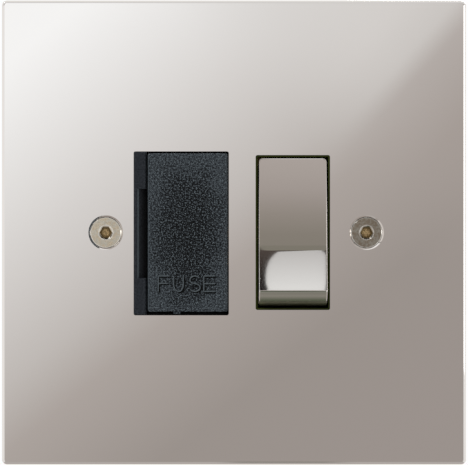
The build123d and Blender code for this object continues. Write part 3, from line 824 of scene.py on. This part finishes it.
def build_stage():
    """The floor, and the pale and dark cards that the metal reflects."""
    side = (-floor_size / 2, floor_size / 2)
    corners = level_corners(side, side, floor_z)
    floor = mesh_piece("floor", corners, one_face)
    floor.data.materials.append(pale_floor())
    floor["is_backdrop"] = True
    wide = (-card_half_width, card_half_width)
    flat_card("front_card", wide, plate_front - card_distance, (card_bottom, card_join), front_paint)
    round_card("high_card", card_join, card_top, by_height(card_join, card_top, high_glow))
    angles = (softbox_low_deg, softbox_high_deg)
    overhead_card("softbox", softbox_edges, softbox_distance, angles, softbox_glow)
    angles = (charcoal_low_deg, charcoal_high_deg)
    overhead_card("charcoal_card", charcoal_edges, charcoal_distance, angles, charcoal_glow)
    angles = (tongue_low_deg, charcoal_low_deg)
    overhead_card("charcoal_tongue", tongue_edges, charcoal_distance, angles, tongue_glow)
    heights = (top_card_low, top_card_high)
    flat_card("top_card", wide, plate_front - top_card_ahead, heights, plain_paint(top_glow))
    flag_width = (-flag_half_width, flag_half_width)
    level_card("low_flag", flag_width, (-flag_reach, flag_rear), -flag_drop, flag_paint)
    edge_width = (flag_dark_x - edge_card_half, flag_dark_x + edge_card_half)
    edge_depth = (plate_front - edge_card_ahead, plate_front + edge_card_behind)
    edge_z = plate_low.z - edge_card_drop
    level_card("edge_card", edge_width, edge_depth, edge_z, plain_paint(flag_side_glow))


def lamp(name, place_at, size, power):
    """A soft square lamp aimed at the plate."""
    light = bpy.data.lights.new(name, "AREA")
    light.shape = "SQUARE"
    light.size = size
    light.energy = power
    holder = linked(name, light)
    holder.location = place_at
    holder.rotation_euler = (-Vector(place_at)).to_track_quat("-Z", "Y").to_euler()


def build_light():
    """The lamps, and a world that is white to the camera and to shiny surfaces."""
    for values in lamps:
        lamp(*values)
    world = bpy.data.worlds.new("studio")
    bpy.context.scene.world = world
    world.use_nodes = True
    tree = world.node_tree
    path = add(tree, "ShaderNodeLightPath")
    seen = work(tree, "MAXIMUM", path.outputs["Is Camera Ray"], path.outputs["Is Glossy Ray"])
    seen = work(tree, "MAXIMUM", seen, path.outputs["Is Transmission Ray"])
    strength = between(tree, seen, world_light, 1.0)
    tree.links.new(strength, tree.nodes["Background"].inputs["Strength"])
    tree.nodes["Background"].inputs["Color"].default_value = (1, 1, 1, 1)


def build_camera():
    """Straight at the plate, with the plate as wide as in the photo."""
    data = bpy.data.cameras.new("camera")
    frame_width = plate_size * photo_width_px / plate_width_px
    data.sensor_width = sensor_width_mm
    data.lens = sensor_width_mm * camera_distance / frame_width
    camera = linked("camera", data)
    camera.location = (0, plate_front - camera_distance, 0)
    camera.rotation_euler = (math.pi / 2, 0, 0)
    bpy.context.scene.camera = camera


def smooth(piece, degrees):
    """Smooth shading, with edges sharper than an angle kept."""
    for polygon in piece.data.polygons:
        polygon.use_smooth = True
    piece.data.set_sharp_from_angle(angle=math.radians(degrees))


def hexagon_radius(angle):
    """Distance from the key socket's axis to its wall."""
    sixth = math.pi / 3
    return key_width / 2 / math.cos(angle % sixth - sixth / 2)


def thread_radius(y, angle):
    """Radius of the screw's thread, which climbs one pitch a turn."""
    turn = (y / screw_pitch - angle / (2 * math.pi)) % 1
    return screw_thread_radius - screw_thread_depth * abs(2 * turn - 1)


def screw_rings(low, high):
    """The screw's rings from the socket's floor, over its head and along its thread to the tip."""
    front, tip = low.y, high.y
    head = (high.x - low.x) / 2
    neck_start = front + head - screw_neck_radius
    rings = [(front + key_depth, hexagon_radius), (front + socket_bevel, hexagon_radius)]
    rings.append((front, lambda angle: socket_rim))
    rings.append((front, lambda angle: head - screw_rim))
    rings.append((front + screw_rim_round, lambda angle: head - screw_rim_round))
    rings.append((front + screw_rim, lambda angle: head - screw_rim))
    rings.append((neck_start, lambda angle: screw_neck_radius))
    rings.append((screw_neck_end, lambda angle: screw_neck_radius))
    step = screw_pitch / rings_per_pitch
    point = screw_thread_radius / 2
    count = int((tip - screw_neck_end) / step)
    for n in range(count + 1):
        y = screw_neck_end + (tip - screw_neck_end) * n / count
        into_point = max(0, (y - tip + point) / point)
        taper = min(1, (n + 1) / rings_per_pitch, 1 - screw_tip_taper * into_point)
        rings.append((y, lambda angle, y=y, taper=taper: thread_radius(y, angle) * taper))
    return rings


def fixing_screw(node, finish):
    """A threaded screw in the place of its plain solid."""
    low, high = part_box(node)
    centre = (low.x + high.x) / 2
    points = []
    rings = screw_rings(low, high)
    for y, radius in rings:
        for n in range(screw_segments):
            angle = 2 * math.pi * n / screw_segments
            reach = radius(angle)
            points.append((centre + reach * math.cos(angle), y, reach * math.sin(angle)))
    faces = []
    last = (len(rings) - 1) * screw_segments
    for start in range(0, last, screw_segments):
        beyond = start + screw_segments
        for n in range(screw_segments):
            after = (n + 1) % screw_segments
            faces.append((start + n, start + after, beyond + after, beyond + n))
    faces.append(tuple(reversed(range(screw_segments))))
    faces.append(tuple(range(last, last + screw_segments)))
    piece = mesh_piece(f"{node}_threaded", points, faces)
    outward = bmesh.new()
    outward.from_mesh(piece.data)
    bmesh.ops.recalc_face_normals(outward, faces=outward.faces)
    outward.to_mesh(piece.data)
    outward.free()
    smooth(piece, screw_sharp_deg)
    piece.data.materials.append(finish)
    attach(piece, "housing")
    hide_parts(node)


def arc(centre, radii, start, end):
    """Points along part of an ellipse, in degrees from its right."""
    angles = [math.radians(start + (end - start) * n / arc_points) for n in range(arc_points + 1)]
    return [(centre[0] + radii[0] * math.cos(a), centre[1] + radii[1] * math.sin(a)) for a in angles]


def letter_strokes():
    """The strokes of each letter, in shares of its width and height."""
    stem = [(0, 0), (0, 1)]
    low_bar, middle_bar, high_bar = ([(0, height), (1, height)] for height in (0, 0.5, 1))
    short_bar = [(0, 0.52), (0.85, 0.52)]
    bowl = [(0, 1)] + arc((0.5, 0.42), (0.5, 0.42), 180, 360) + [(1, 1)]
    upper = arc((0.5, 0.75), (0.46, 0.25), 25, 270)
    lower = arc((0.5, 0.25), (0.5, 0.25), 90, -155)
    return {
        "F": [stem, high_bar, short_bar],
        "U": [bowl],
        "S": [upper + lower],
        "E": [stem, low_bar, middle_bar, high_bar],
    }


def raised_word(name, shift, rise, finish):
    """Thin strokes of the word on the carrier's face, moved right and down by a shift."""
    curve = bpy.data.curves.new("word_strokes", "CURVE")
    curve.dimensions = "3D"
    curve.bevel_depth = stroke_radius
    curve.bevel_resolution = stroke_resolution
    curve.use_fill_caps = True
    for letter, strokes in letter_strokes().items():
        left, width = letter_places[letter]
        for stroke in strokes:
            spline = curve.splines.new("POLY")
            spline.points.add(len(stroke) - 1)
            for point, (across, up) in zip(spline.points, stroke):
                x = left + across * width + shift
                point.co = (x, 0, letter_base_z + up * letter_height - shift, 1)
    drawn = bpy.data.objects.new("word_strokes", curve)
    mesh = bpy.data.meshes.new_from_object(drawn)
    bpy.data.objects.remove(drawn)
    for vertex in mesh.vertices:
        vertex.co.y = carrier_low.y + vertex.co.y * rise
    mesh.name = name
    mesh.materials.clear()
    mesh.materials.append(finish)
    piece = linked(name, mesh)
    smooth(piece, letter_sharp_deg)
    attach(piece, "fuse_drawer")


finishes = dress_nodes()
for screw in ("fixing_screw_left", "fixing_screw_right"):
    fixing_screw(screw, finishes["nickel_screw"])
word_finish = letter_plastic()
raised_word("raised_word", 0, stroke_rise, word_finish)
# A painted shadow: low dark strokes moved right and down beside each stroke.
raised_word("word_painted_shadow", shade_shift, shade_rise, word_finish)
build_stage()
build_light()
build_camera()
bpy.context.scene.view_settings.view_transform = "Standard"

boxes = {"cad": cad_box, "visual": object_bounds()}
{name: [list(corner) for corner in box] for name, box in boxes.items()}
